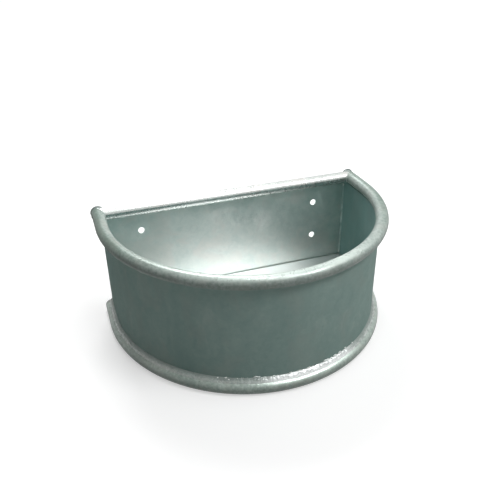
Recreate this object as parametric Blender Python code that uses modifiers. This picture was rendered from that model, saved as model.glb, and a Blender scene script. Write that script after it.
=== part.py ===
"""Wall-hung feeding trough for livestock, welded from hot-dip galvanised sheet and round tube.

A D-shaped bowl: one rolled wall, a flat back plate with four bolt holes and a floor plate.
A round tube stiffens the rim, another the back edge and a third one is the foot that it stands on.
Metres, +Z up, the front toward -Y. The origin is under the middle of the part, on the ground.
"""

import math

import bmesh
import bpy
from mathutils import Matrix, Vector

# Bowl, inside
INNER_WIDTH = 0.480
FLANK_LENGTH = 0.064
NOSE_REACH = 0.250
BOWL_DEPTH = 0.178

# Sheet
WALL_SHEET = 0.003
BACK_SHEET = 0.003
FLOOR_SHEET = 0.003
SKIRT_DEPTH = 0.004

# Round tube
TUBE_DIAMETER = 0.022
TUBE_WALL = 0.002
RIM_OVERHANG = 0.003
FOOT_OVERHANG = 0.0025

# Closed tube ends
CAP_THICKNESS = 0.005
CAP_SPIGOT = 0.006
CAP_CROWN = 0.002
RIM_CAP_PROUD = 0.0013

# Bolt holes of the back plate
HOLE_DIAMETER = 0.012
HOLE_SPACING = 0.346
UPPER_HOLE_HEIGHT = 0.130
LOWER_HOLE_HEIGHT = 0.057

# Weld beads
RIM_WELD_LEG = 0.0038
FOOT_WELD_LEG = 0.0045
FLOOR_WELD_LEG = 0.0034
CORNER_WELD_LEG = 0.003
JOINT_BEAD_RADIUS = 0.0018

# Clearance between pieces that touch on the real trough
GAP = 0.0003

# Arc of the bead round each coped joint, from behind the top to under the front
JOINT_BEAD_START = math.radians(50)
JOINT_BEAD_END = math.radians(215)

# Linear colour and roughness of the galvanised metals
SHEET_ZINC = ((0.42, 0.46, 0.45), 0.42)
TUBE_ZINC = ((0.50, 0.53, 0.52), 0.35)
WELD_ZINC = ((0.58, 0.61, 0.60), 0.50)

# Facets
NOSE_STEPS = 40
TUBE_BEVEL = 6
ROUND_SIDES = 32
HOLE_SIDES = 24
JOINT_BEAD_STEPS = 18
JOINT_BEAD_BEVEL = 3
GROOVE_STEPS = 4
FILLET_STEPS = 3
SHARP_ANGLE = math.radians(40)

# Which way a surface gets its thickness, and the two sides of the trough
OUTWARD = 1.0
INWARD = -1.0
SIDES = {-1: "left", 1: "right"}

# Sizes that follow from those above
TUBE_RADIUS = TUBE_DIAMETER / 2
BORE_RADIUS = TUBE_RADIUS - TUBE_WALL
HALF_WIDTH = INNER_WIDTH / 2
WALL_OUTSIDE = HALF_WIDTH + WALL_SHEET
RIM_OFFSET = WALL_SHEET + RIM_OVERHANG
FOOT_OFFSET = WALL_SHEET + FOOT_OVERHANG
RIM_SIDE_X = HALF_WIDTH + RIM_OFFSET
RIM_CAP_RADIUS = TUBE_RADIUS + RIM_CAP_PROUD
BOWL_REACH = FLANK_LENGTH + NOSE_REACH
FRONT_OVERHANG = max(RIM_OFFSET, FOOT_OFFSET) + TUBE_RADIUS
REAR_FACE_Y = (BACK_SHEET + BOWL_REACH + FRONT_OVERHANG) / 2
PLATE_FRONT_Y = REAR_FACE_Y - BACK_SHEET
TUBE_END_SETBACK = CAP_THICKNESS + GAP - BACK_SHEET
RAIL_AXIS_Y = REAR_FACE_Y - TUBE_RADIUS


def half_chord(radius, distance):
    """Height of a circle above its middle, at a distance to the side of it."""
    return math.sqrt(radius**2 - distance**2)


FOOT_AXIS_Z = TUBE_RADIUS
WALL_BOTTOM_Z = FOOT_AXIS_Z + half_chord(TUBE_RADIUS, FOOT_OVERHANG) + GAP
FLOOR_BOTTOM_Z = WALL_BOTTOM_Z + SKIRT_DEPTH
FLOOR_TOP_Z = FLOOR_BOTTOM_Z + FLOOR_SHEET
RIM_AXIS_Z = FLOOR_TOP_Z + BOWL_DEPTH
WALL_TOP_Z = RIM_AXIS_Z - half_chord(TUBE_RADIUS, RIM_OVERHANG) - GAP
PLATE_TOP_Z = RIM_AXIS_Z - half_chord(TUBE_RADIUS, TUBE_RADIUS - BACK_SHEET) - GAP
UNDER_RIM_Z = RIM_AXIS_Z - TUBE_RADIUS - GAP

for old in list(bpy.data.objects):
    bpy.data.objects.remove(old, do_unlink=True)

parts = bpy.data.collections.new("livestock_feeder")
helpers = bpy.data.collections.new("cutters_and_guides")
bpy.context.scene.collection.children.link(parts)
bpy.context.scene.collection.children.link(helpers)

root = bpy.data.objects.new("feeder_root", None)
parts.objects.link(root)


def zinc(name, look):
    """Galvanised steel: a metal with the given linear colour and roughness."""
    colour, roughness = look
    material = bpy.data.materials.new(name)
    material.use_nodes = True
    shader = material.node_tree.nodes["Principled BSDF"]
    shader.inputs["Base Color"].default_value = (*colour, 1.0)
    shader.inputs["Metallic"].default_value = 0.9
    shader.inputs["Roughness"].default_value = roughness
    material.diffuse_color = (*colour, 1.0)
    return material


def place(obj, location, rotation=(0.0, 0.0, 0.0)):
    """Puts a part in its collection, under the root, where it belongs."""
    parts.objects.link(obj)
    obj.parent = root
    obj.location = location
    obj.rotation_euler = rotation
    return obj


def set_helper(obj, location=(0.0, 0.0, 0.0), rotation=(0.0, 0.0, 0.0)):
    """Puts a cutter or a guide in the helpers' collection, out of the render."""
    helpers.objects.link(obj)
    obj.location = location
    obj.rotation_euler = rotation
    obj.hide_render = True
    obj.display_type = "WIRE"
    return obj


def poly_curve(name, points, flat, cyclic=False):
    """A curve object through the points, flat ones for outlines."""
    curve = bpy.data.curves.new(name, "CURVE")
    curve.dimensions = "2D" if flat else "3D"
    spline = curve.splines.new("POLY")
    spline.points.add(len(points) - 1)
    for slot, point in zip(spline.points, points):
        slot.co = (*Vector(point).to_3d(), 1.0)
    spline.use_cyclic_u = cyclic
    return bpy.data.objects.new(name, curve)


def bowl_plan(offset, setback):
    """Plan of the bowl, outside the wall's inner face by the offset, from the right end to the left.

    Its own origin is the middle of the back plate's front face, and setback is how far in front
    of that face the two straight flanks end.
    """
    nose = []
    for step in range(NOSE_STEPS + 1):
        turn = math.pi * step / NOSE_STEPS
        across, forward = math.cos(turn), math.sin(turn)
        outward = Vector((across / HALF_WIDTH, -forward / NOSE_REACH)).normalized()
        on_wall = Vector((HALF_WIDTH * across, -FLANK_LENGTH - NOSE_REACH * forward))
        nose.append(on_wall + offset * outward)
    side = HALF_WIDTH + offset
    return [Vector((side, -setback)), *nose, Vector((-side, -setback))]


def cylinder_mesh(name, radius, length, sides=ROUND_SIDES):
    """A closed cylinder along its own Z axis."""
    mesh = bpy.data.meshes.new(name)
    shape = bmesh.new()
    bmesh.ops.create_cone(
        shape, cap_ends=True, segments=sides, radius1=radius, radius2=radius, depth=length
    )
    shape.to_mesh(mesh)
    shape.free()
    return mesh


def box_mesh(name, size):
    """A closed box round its own origin."""
    mesh = bpy.data.meshes.new(name)
    shape = bmesh.new()
    bmesh.ops.create_cube(shape, size=1.0, matrix=Matrix.Diagonal((*size, 1.0)))
    shape.to_mesh(mesh)
    shape.free()
    return mesh


def cut(obj, cutter):
    """Takes the cutter's shape out of the object."""
    modifier = obj.modifiers.new("cut_" + cutter.name, "BOOLEAN")
    modifier.operation = "DIFFERENCE"
    modifier.solver = "EXACT"
    modifier.object = cutter


def thicken(obj, thickness, direction):
    """Turns an open surface into sheet or pipe wall."""
    solidify = obj.modifiers.new("thickness", "SOLIDIFY")
    solidify.thickness = thickness
    solidify.offset = direction
    solidify.use_even_offset = True


def shade_round(mesh):
    """Smooth round faces, with the real edges left sharp."""
    mesh.shade_smooth()
    mesh.set_sharp_from_angle(angle=SHARP_ANGLE)


# Sheets


def make_wall_sheet():
    """One strip, rolled to the D and stood on edge."""
    height = WALL_TOP_Z - WALL_BOTTOM_Z
    wall = poly_curve("wall_sheet", bowl_plan(0.0, GAP), flat=True)
    wall.data.fill_mode = "NONE"
    wall.data.extrude = height / 2
    wall.data.materials.append(zinc("wall_zinc", SHEET_ZINC))
    thicken(wall, WALL_SHEET, OUTWARD)
    return place(wall, (0.0, PLATE_FRONT_Y, WALL_BOTTOM_Z + height / 2))


def make_floor_plate():
    """A flat blank that drops into the bowl, just above the wall's lower edge."""
    floor = poly_curve("floor_plate", bowl_plan(-GAP, GAP), flat=True, cyclic=True)
    floor.data.fill_mode = "BOTH"
    floor.data.extrude = FLOOR_SHEET / 2
    floor.data.materials.append(zinc("floor_zinc", SHEET_ZINC))
    return place(floor, (0.0, PLATE_FRONT_Y, (FLOOR_BOTTOM_Z + FLOOR_TOP_Z) / 2))


def make_back_plate():
    """A flat blank across the back, with four bolt holes and its top corners cut round the rim."""
    height = PLATE_TOP_Z - WALL_BOTTOM_Z
    mesh = box_mesh("back_plate", (2 * WALL_OUTSIDE, BACK_SHEET, height))
    mesh.materials.append(zinc("back_zinc", SHEET_ZINC))
    plate = bpy.data.objects.new("back_plate", mesh)
    place(plate, (0.0, (PLATE_FRONT_Y + REAR_FACE_Y) / 2, WALL_BOTTOM_Z + height / 2))
    drill = cylinder_mesh("bolt_hole", HOLE_DIAMETER / 2, 4 * BACK_SHEET, HOLE_SIDES)
    heights = {"upper": UPPER_HOLE_HEIGHT, "lower": LOWER_HOLE_HEIGHT}
    for side, side_name in SIDES.items():
        for height_name, above_floor in heights.items():
            where = (side * HOLE_SPACING / 2, PLATE_FRONT_Y, FLOOR_TOP_Z + above_floor)
            hole = bpy.data.objects.new(f"{height_name}_{side_name}_hole", drill)
            set_helper(hole, where, (math.pi / 2, 0.0, 0.0))
            cut(plate, hole)
        cut(plate, rim_end_clearance[side])
    return plate


# Tubes


def make_bent_tube(name, offset, axis_z, metal):
    """A round tube bent along the bowl, open at both ends until its caps close it."""
    tube = poly_curve(name, bowl_plan(offset, TUBE_END_SETBACK), flat=False)
    tube.data.bevel_depth = TUBE_RADIUS
    tube.data.bevel_resolution = TUBE_BEVEL
    tube.data.twist_mode = "Z_UP"
    tube.data.materials.append(metal)
    thicken(tube, TUBE_WALL, INWARD)
    return place(tube, (0.0, PLATE_FRONT_Y, axis_z))


def make_back_rail():
    """A straight tube on the back plate's top edge, its ends coped to fit the rim tube."""
    mesh = cylinder_mesh("back_rail_tube", TUBE_RADIUS, 2 * RIM_SIDE_X)
    mesh.materials.append(zinc("rail_zinc", TUBE_ZINC))
    shade_round(mesh)
    rail = bpy.data.objects.new("back_rail_tube", mesh)
    place(rail, (0.0, RAIL_AXIS_Y, RIM_AXIS_Z), (0.0, math.pi / 2, 0.0))
    bore_mesh = cylinder_mesh("rail_bore", BORE_RADIUS, 2 * RIM_SIDE_X + TUBE_DIAMETER)
    bore = bpy.data.objects.new("rail_bore", bore_mesh)
    set_helper(bore, rail.location, (0.0, math.pi / 2, 0.0))
    cut(rail, bore)
    for side in SIDES:
        cut(rail, rim_side_clearance[side])
        cut(rail, rim_end_clearance[side])
        cut(rail, wall_top_clearance[side])
    return rail


def make_end_cap(name, offset, side, axis_z, proud, metal):
    """A turned plug, welded into a tube's end: a spigot, a flange and a crown, proud at its bead."""
    spigot = BORE_RADIUS - GAP
    rim = TUBE_RADIUS + proud
    flange = CAP_THICKNESS - BACK_SHEET
    bead = [(rim, flange + CAP_CROWN / 2), (rim, flange)] if proud else []
    profile = (
        (0.0, CAP_THICKNESS),
        (rim - 2 * CAP_CROWN, CAP_THICKNESS - CAP_CROWN / 4),
        (rim - CAP_CROWN / 2, CAP_THICKNESS - CAP_CROWN / 2),
        *bead,
        (TUBE_RADIUS, flange),
        (TUBE_RADIUS, 0.0),
        (spigot, 0.0),
        (spigot, -CAP_SPIGOT),
        (0.0, -CAP_SPIGOT),
    )
    points = [(x, 0.0, z) for x, z in profile]
    edges = [(start, start + 1) for start in range(len(points) - 1)]
    mesh = bpy.data.meshes.new(name)
    mesh.from_pydata(points, edges, [])
    mesh.materials.append(metal)
    cap = bpy.data.objects.new(name, mesh)
    turn = cap.modifiers.new("turn", "SCREW")
    turn.steps = ROUND_SIDES
    turn.render_steps = ROUND_SIDES
    turn.use_merge_vertices = True
    turn.merge_threshold = 0.00001
    turn.use_smooth_shade = True
    where = (side * (HALF_WIDTH + offset), REAR_FACE_Y - CAP_THICKNESS, axis_z)
    return place(cap, where, (-math.pi / 2, 0.0, 0.0))


# Weld beads


def fillet_profile(name, points):
    """The clockwise cross-section of a weld bead, outward along X, that a bent bead is swept with."""
    return set_helper(poly_curve(name, points, flat=True, cyclic=True))


def make_bent_weld(name, offset, setback, axis_z, profile):
    """A weld bead along the bowl: the cross-section swept along the plan at the offset."""
    left_to_right = list(reversed(bowl_plan(offset, setback)))
    bead = poly_curve(name, left_to_right, flat=False)
    bead.data.twist_mode = "Z_UP"
    bead.data.bevel_mode = "OBJECT"
    bead.data.bevel_object = profile
    bead.data.use_fill_caps = True
    bead.data.materials.append(zinc(name + "_zinc", WELD_ZINC))
    return place(bead, (0.0, PLATE_FRONT_Y, axis_z))


def clearance_arc(overhang, start, end, upward):
    """Points along a tube, a gap outside it, between two distances from the wall's outer face."""
    points = []
    for step in range(FILLET_STEPS + 1):
        out = start + (end - start) * step / FILLET_STEPS
        rise = half_chord(TUBE_RADIUS + GAP, out - overhang)
        points.append((out, rise if upward else -rise))
    return points


def make_rim_weld():
    """The bead under the rim tube, outside the wall."""
    along_tube = clearance_arc(RIM_OVERHANG, GAP, RIM_WELD_LEG + GAP, upward=False)
    lowest = (GAP, along_tube[0][1] - RIM_WELD_LEG)
    profile = fillet_profile("rim_weld_section", [*along_tube, lowest])
    return make_bent_weld("rim_weld", WALL_SHEET, GAP, RIM_AXIS_Z, profile)


def make_foot_weld():
    """The bead on top of the foot tube, outside the wall."""
    along_tube = clearance_arc(FOOT_OVERHANG, GAP, FOOT_WELD_LEG + GAP, upward=True)
    highest = (GAP, along_tube[0][1] + FOOT_WELD_LEG)
    profile = fillet_profile("foot_weld_section", [highest, *reversed(along_tube)])
    return make_bent_weld("foot_weld", WALL_SHEET, GAP, FOOT_AXIS_Z, profile)


def make_floor_wall_weld():
    """The bead under the floor plate, inside the wall."""
    leg = FLOOR_WELD_LEG
    corner = ((-GAP, -GAP), (-GAP, -GAP - leg), (-GAP - leg, -GAP))
    profile = fillet_profile("floor_wall_weld_section", corner)
    return make_bent_weld("floor_wall_weld", 0.0, GAP, FLOOR_BOTTOM_Z, profile)


def prism(name, outline, length, location, rotation):
    """A straight bead: its cross-section drawn flat and extruded along its own Z axis."""
    bead = poly_curve(name, outline, flat=True, cyclic=True)
    bead.data.fill_mode = "BOTH"
    bead.data.extrude = length / 2
    bead.data.materials.append(zinc(name + "_zinc", WELD_ZINC))
    return place(bead, location, rotation)


def make_corner_weld(side):
    """The upright seam in the corner between the back plate and the wall."""
    near, far = GAP, GAP + CORNER_WELD_LEG
    outline = ((-side * near, -near), (-side * far, -near), (-side * near, -far))
    bottom, top = FLOOR_TOP_Z + GAP, UNDER_RIM_Z - GAP
    where = (side * HALF_WIDTH, PLATE_FRONT_Y, (bottom + top) / 2)
    return prism("corner_weld_" + SIDES[side], outline, top - bottom, where, (0.0, 0.0, 0.0))


def make_floor_plate_weld():
    """The bead under the floor plate, along the back plate."""
    near, far = GAP, GAP + FLOOR_WELD_LEG
    outline = ((near, -near), (near, -far), (far, -near))
    length = INNER_WIDTH - 2 * (far + GAP)
    where = (0.0, PLATE_FRONT_Y, FLOOR_BOTTOM_Z)
    return prism("floor_plate_weld", outline, length, where, (math.pi / 2, 0.0, -math.pi / 2))


def make_rail_weld():
    """The bead that fills the groove between the back plate's top edge and the rail, flush behind."""
    radius = TUBE_RADIUS + GAP
    floor_z = PLATE_TOP_Z + GAP - RIM_AXIS_Z
    first = math.asin(floor_z / radius)
    last = -math.acos(TUBE_RADIUS / radius)
    groove = []
    for step in range(GROOVE_STEPS + 1):
        turn = first + (last - first) * step / GROOVE_STEPS
        groove.append((-radius * math.cos(turn), radius * math.sin(turn)))
    outline = [*groove, (-TUBE_RADIUS, floor_z)]
    length = 2 * (RIM_SIDE_X - RIM_CAP_RADIUS - 2 * GAP)
    where = (0.0, RAIL_AXIS_Y, RIM_AXIS_Z)
    return prism("rail_weld", outline, length, where, (math.pi / 2, 0.0, -math.pi / 2))


def make_rail_joint_weld(side):
    """The bead round the coped joint of rail and rim, from behind the top to under the front."""
    name = "rail_joint_weld_" + SIDES[side]
    ridge = []
    for step in range(JOINT_BEAD_STEPS + 1):
        turn = JOINT_BEAD_START + (JOINT_BEAD_END - JOINT_BEAD_START) * step / JOINT_BEAD_STEPS
        back = TUBE_RADIUS * math.cos(turn)
        ridge.append((-side * abs(back), back, TUBE_RADIUS * math.sin(turn)))
    guide = poly_curve(name + "_guide", ridge, flat=False)
    guide.data.bevel_depth = JOINT_BEAD_RADIUS
    guide.data.bevel_resolution = JOINT_BEAD_BEVEL
    guide.data.use_fill_caps = True
    helpers.objects.link(guide)
    guide.location = (side * RIM_SIDE_X, RAIL_AXIS_Y, RIM_AXIS_Z)
    bead = mesh_from_curve(guide, name)
    bead.data.materials.append(zinc(name + "_zinc", WELD_ZINC))
    cut(bead, rail_clearance)
    cut(bead, rim_side_clearance[side])
    cut(bead, rim_end_clearance[side])
    return bead


def mesh_from_curve(guide, name):
    """A part made of the curve's evaluated mesh, with its caps welded on, in the curve's place."""
    bpy.context.view_layer.update()
    graph = bpy.context.evaluated_depsgraph_get()
    mesh = bpy.data.meshes.new_from_object(guide.evaluated_get(graph))
    mesh.name = name
    shape = bmesh.new()
    shape.from_mesh(mesh)
    bmesh.ops.remove_doubles(shape, verts=shape.verts, dist=0.000001)
    bmesh.ops.recalc_face_normals(shape, faces=shape.faces)
    shape.to_mesh(mesh)
    shape.free()
    matrix = guide.matrix_world.copy()
    bpy.data.objects.remove(guide, do_unlink=True)
    obj = bpy.data.objects.new(name, mesh)
    place(obj, matrix.translation)
    return obj


# Clearances that the coped pieces are cut with


def side_cutter(name, side, radius, start_y, end_y):
    """A cylinder round the rim tube's straight flank, between two places along Y."""
    mesh = cylinder_mesh(name, radius, end_y - start_y)
    cutter = bpy.data.objects.new(name, mesh)
    where = (side * RIM_SIDE_X, (start_y + end_y) / 2, RIM_AXIS_Z)
    return set_helper(cutter, where, (math.pi / 2, 0.0, 0.0))


def wall_top_cutter(name, side):
    """A block over the wall's top edge, which the rail's lower horn would touch."""
    mesh = box_mesh(name, (TUBE_RADIUS, 2 * TUBE_DIAMETER, TUBE_DIAMETER))
    cutter = bpy.data.objects.new(name, mesh)
    inner_x = HALF_WIDTH - GAP + TUBE_RADIUS / 2
    return set_helper(cutter, (side * inner_x, RAIL_AXIS_Y, WALL_TOP_Z + GAP - TUBE_RADIUS))


rim_side_clearance = {}
rim_end_clearance = {}
wall_top_clearance = {}
for side, side_name in SIDES.items():
    rim_side_clearance[side] = side_cutter(
        "rim_side_clearance_" + side_name,
        side,
        TUBE_RADIUS + GAP,
        REAR_FACE_Y - 3 * TUBE_DIAMETER,
        REAR_FACE_Y + TUBE_DIAMETER,
    )
    rim_end_clearance[side] = side_cutter(
        "rim_end_clearance_" + side_name,
        side,
        RIM_CAP_RADIUS + GAP,
        PLATE_FRONT_Y - GAP,
        REAR_FACE_Y + TUBE_DIAMETER,
    )
    wall_top_clearance[side] = wall_top_cutter("wall_top_clearance_" + side_name, side)
rail_clearance = bpy.data.objects.new(
    "rail_clearance", cylinder_mesh("rail_clearance", TUBE_RADIUS + GAP, 3 * RIM_SIDE_X)
)
set_helper(rail_clearance, (0.0, RAIL_AXIS_Y, RIM_AXIS_Z), (0.0, math.pi / 2, 0.0))


# Assembly

make_wall_sheet()
make_floor_plate()
make_back_plate()
make_bent_tube("rim_tube", RIM_OFFSET, RIM_AXIS_Z, zinc("rim_zinc", TUBE_ZINC))
make_bent_tube("foot_tube", FOOT_OFFSET, FOOT_AXIS_Z, zinc("foot_zinc", TUBE_ZINC))
make_back_rail()
for side, side_name in SIDES.items():
    rim_metal = zinc("rim_cap_zinc_" + side_name, TUBE_ZINC)
    foot_metal = zinc("foot_cap_zinc_" + side_name, TUBE_ZINC)
    make_end_cap("rim_end_cap_" + side_name, RIM_OFFSET, side, RIM_AXIS_Z, RIM_CAP_PROUD, rim_metal)
    make_end_cap("foot_end_cap_" + side_name, FOOT_OFFSET, side, FOOT_AXIS_Z, 0.0, foot_metal)
    make_corner_weld(side)
    make_rail_joint_weld(side)
make_rim_weld()
make_foot_weld()
make_floor_wall_weld()
make_floor_plate_weld()
make_rail_weld()
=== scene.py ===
"""Looks of the wall-hung feeding trough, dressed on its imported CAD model.

Each piece stands where its CAD node stands: metres, +Z up, the front toward -Y, the origin on the
ground under the middle of the trough. Sizes repeat the CAD model's own named sizes.
"""

import math
from typing import NamedTuple

import bmesh
import bpy
import numpy as np
from mathutils import Matrix, Vector


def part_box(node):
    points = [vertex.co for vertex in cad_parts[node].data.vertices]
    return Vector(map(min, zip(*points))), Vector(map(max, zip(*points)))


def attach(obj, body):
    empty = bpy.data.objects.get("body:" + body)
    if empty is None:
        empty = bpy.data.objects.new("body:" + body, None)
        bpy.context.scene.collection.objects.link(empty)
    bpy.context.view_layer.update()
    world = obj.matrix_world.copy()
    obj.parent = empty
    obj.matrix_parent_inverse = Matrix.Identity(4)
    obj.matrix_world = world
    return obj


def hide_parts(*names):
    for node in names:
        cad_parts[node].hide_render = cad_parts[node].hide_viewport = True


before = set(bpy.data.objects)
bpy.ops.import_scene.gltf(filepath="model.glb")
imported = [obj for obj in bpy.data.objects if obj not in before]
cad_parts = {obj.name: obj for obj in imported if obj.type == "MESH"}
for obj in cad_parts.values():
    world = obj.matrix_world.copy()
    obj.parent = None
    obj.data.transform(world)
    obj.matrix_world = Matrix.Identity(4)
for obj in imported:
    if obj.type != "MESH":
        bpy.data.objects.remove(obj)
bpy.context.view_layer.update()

# Bowl, inside
HALF_WIDTH = 0.240
FLANK_LENGTH = 0.064
NOSE_REACH = 0.250

# Sheet, tube and holes
SHEET = 0.003
TUBE_RADIUS = 0.011
TUBE_WALL = 0.002
BORE_RADIUS = TUBE_RADIUS - TUBE_WALL
RIM_OVERHANG = 0.003
FOOT_OVERHANG = 0.0025
RIM_OFFSET = SHEET + RIM_OVERHANG
FOOT_OFFSET = SHEET + FOOT_OVERHANG
HOLE_RADIUS = 0.006
HOLE_X = 0.173
GAP = 0.0003

# Heights and depths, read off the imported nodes
WALL_BOTTOM_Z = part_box("wall_sheet")[0].z
WALL_TOP_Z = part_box("wall_sheet")[1].z
FLOOR_BOTTOM_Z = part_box("floor_plate")[0].z
FLOOR_TOP_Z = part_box("floor_plate")[1].z
REAR_FACE_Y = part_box("back_plate")[1].y
PLATE_FRONT_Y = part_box("back_plate")[0].y
PLATE_TOP_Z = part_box("back_plate")[1].z
FOOT_AXIS_Z = TUBE_RADIUS
RIM_AXIS_Z = (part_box("rim_tube")[0].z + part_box("rim_tube")[1].z) / 2
RAIL_AXIS_Y = REAR_FACE_Y - TUBE_RADIUS
TUBE_END_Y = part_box("rim_tube")[1].y
RIM_SIDE_X = HALF_WIDTH + RIM_OFFSET
UPPER_HOLE_Z = FLOOR_TOP_Z + 0.130
LOWER_HOLE_Z = FLOOR_TOP_Z + 0.057
CAP_RADIUS = TUBE_RADIUS + 0.0013
BOWL_MIDDLE = Vector((0.0, PLATE_FRONT_Y - 0.1, RIM_AXIS_Z / 2))

# Rounded edges of the rolled wall and the flat blanks, and of a plug's spigot, head and crown
ROLLED_EDGE = 0.0006
BLANK_EDGE = 0.0004
SPIGOT_EDGE = 0.0006
HEAD_EDGE = 0.0003
CROWN_WIDTH = 0.0022
CROWN_DEPTH = 0.0014

# Where the cutters that cope the rail's ends begin and end
COPE_START_Y = 0.05
COPE_END_Y = 0.25

# Fineness of the meshes
PLAN_POINTS = 721
FLANK_POINTS = 40
FLOOR_STRIDE = 6
TUBE_SIDES = 56
PLUG_SIDES = 64
HOLE_SIDES = 40
CORNER_STEPS = 3
CROWN_STEPS = 6
NOTCH_STEPS = 8
FILLET_STEPS = 12
JOINT_STEPS = 80
BEVEL_STEPS = 3
WALL_STEP = 0.003
TUBE_STEP = 0.0035
RAIL_STEP = 0.008
MERGE_DISTANCE = 0.000002
SHARP_ANGLE = math.radians(35)
BEVEL_ANGLE = math.radians(50)
# Beside a face this many times narrower, a wide face ends in a sharp edge
WIDE_TO_NARROW = 20

WHITE = (1.0, 1.0, 1.0, 1.0)
BLACK = (0.0, 0.0, 0.0, 1.0)


class Reading:
    """One output socket of a node. Python's operators on it add the Math nodes."""

    def __init__(self, bench, socket):
        self.bench = bench
        self.socket = socket

    def output(self, name):
        """Another output of the same node."""
        return Reading(self.bench, self.socket.node.outputs[name])

    def maths(self, operation, *operands):
        return self.bench.node("ShaderNodeMath", {"operation": operation}, dict(enumerate(operands)))

    def __add__(self, other):
        return self.maths("ADD", self, other)

    def __sub__(self, other):
        return self.maths("SUBTRACT", self, other)

    def __rsub__(self, other):
        return self.maths("SUBTRACT", other, self)

    def __mul__(self, other):
        return self.maths("MULTIPLY", self, other)

    def __truediv__(self, other):
        return self.maths("DIVIDE", self, other)

    def __rtruediv__(self, other):
        return self.maths("DIVIDE", other, self)

    def __pow__(self, other):
        return self.maths("POWER", self, other)

    def __abs__(self):
        return self.maths("ABSOLUTE", self)

    def sine(self):
        return self.maths("SINE", self)

    def least(self, other):
        return self.maths("MINIMUM", self, other)

    def most(self, other):
        return self.maths("MAXIMUM", self, other)

    def swing(self, weight):
        """A pattern from 0 to 1, weighted and moved so that its middle is 0."""
        return (self - 0.5) * weight

    def ease(self, low, high):
        """0 below low, 1 above high, with a smooth way between them."""
        settings = {"interpolation_type": "SMOOTHSTEP"}
        values = {"Value": self, "From Min": low, "From Max": high}
        return self.bench.node("ShaderNodeMapRange", settings, values)

    __radd__ = __add__
    __rmul__ = __mul__


class Bench:
    """A node tree in the making, and the one method that adds a node to it."""

    def __init__(self, tree):
        self.tree = tree

    def node(self, kind, settings=None, values=None, output=0):
        """Adds a node: first its settings, then the values or links of its sockets."""
        made = self.tree.nodes.new(kind)
        for name, value in (settings or {}).items():
            setattr(made, name, value)
        self.feed(made, values or {})
        return Reading(self, made.outputs[output]) if made.outputs else None

    def feed(self, made, values):
        """Links the sockets of a node to readings, or sets them to plain values."""
        for key, value in values.items():
            if isinstance(value, Reading):
                self.tree.links.new(value.socket, made.inputs[key])
            else:
                made.inputs[key].default_value = value

    def noise(self, vector, scale, detail, rough, distortion=0.0):
        values = {"Vector": vector, "Scale": scale, "Detail": detail, "Roughness": rough}
        return self.node("ShaderNodeTexNoise", {}, {**values, "Distortion": distortion})

    def vector(self, operation, *operands, output="Vector"):
        settings = {"operation": operation}
        return self.node("ShaderNodeVectorMath", settings, dict(enumerate(operands)), output)

    def mix(self, factor, first, second, blend="MIX"):
        """Mixes two colours. Inputs 0, 6 and 7 and output 2 are the node's sockets for that."""
        settings = {"data_type": "RGBA", "blend_type": blend}
        return self.node("ShaderNodeMix", settings, {0: factor, 6: first, 7: second}, output=2)


# Trees that make what follows a path or repeats over a surface

# How a bead's ripples wander, how high they stand on average, and how its lumps are drawn
WANDER_SCALE = 90.0
WANDER_RIPPLES = 2.5
RIPPLE_MEAN = 0.6
LUMP_DETAIL = 2.5
LUMP_SEED_STEP = 7.0
# How far before its end a bead would have no width, as a share of its taper
TAPER_START = -0.6


def new_tree(name, sockets):
    """An empty Geometry Nodes tree with named inputs, and the readings of those inputs."""
    tree = bpy.data.node_groups.new(name, "GeometryNodeTree")
    tree.interface.new_socket("Geometry", in_out="OUTPUT", socket_type="NodeSocketGeometry")
    tree.interface.new_socket("Geometry", in_out="INPUT", socket_type="NodeSocketGeometry")
    for socket_name, kind in sockets.items():
        tree.interface.new_socket(socket_name, in_out="INPUT", socket_type="NodeSocket" + kind)
    bench = Bench(tree)
    source = bench.node("NodeGroupInput")
    return bench, {name: source.output(name) for name in ("Geometry", *sockets)}


def close_tree(bench, geometry, metal):
    """Every tree ends in plain faces of one metal."""
    real = bench.node("GeometryNodeRealizeInstances", {}, {"Geometry": geometry})
    smooth = bench.node("GeometryNodeSetShadeSmooth", {}, {"Geometry": real})
    done = bench.node("GeometryNodeSetMaterial", {}, {"Geometry": smooth, "Material": metal})
    bench.node("NodeGroupOutput", {}, {"Geometry": done})
    return bench.tree


def attribute(bench, name):
    return bench.node("GeometryNodeInputNamedAttribute", {"data_type": "FLOAT"}, {"Name": name})


def path_and_section(bench, given):
    """The path as an evenly stepped, upright curve, and the section's own outline."""
    curve = bench.node("GeometryNodeMeshToCurve", {}, {"Mesh": given["Geometry"]})
    values = {"Curve": curve, "Length": given["Step"]}
    stepped = bench.node("GeometryNodeResampleCurve", {"mode": "LENGTH"}, values)
    upright = bench.node("GeometryNodeSetCurveNormal", {"mode": "Z_UP"}, {"Curve": stepped})
    section = bench.node("GeometryNodeObjectInfo", {}, {"Object": given["Section"]}).output("Geometry")
    outline = bench.node("GeometryNodeMeshToCurve", {}, {"Mesh": section})
    return upright, outline


def sweep_tree():
    """Rolled sheet or tube: a section carried along a path."""
    sockets = {"Section": "Object", "Step": "Float", "Closed Ends": "Bool", "Metal": "Material"}
    bench, given = new_tree("sweep_along_bowl", sockets)
    path, outline = path_and_section(bench, given)
    values = {"Curve": path, "Profile Curve": outline, "Fill Caps": given["Closed Ends"]}
    swept = bench.node("GeometryNodeCurveToMesh", {}, values)
    return close_tree(bench, swept, given["Metal"])


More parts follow.
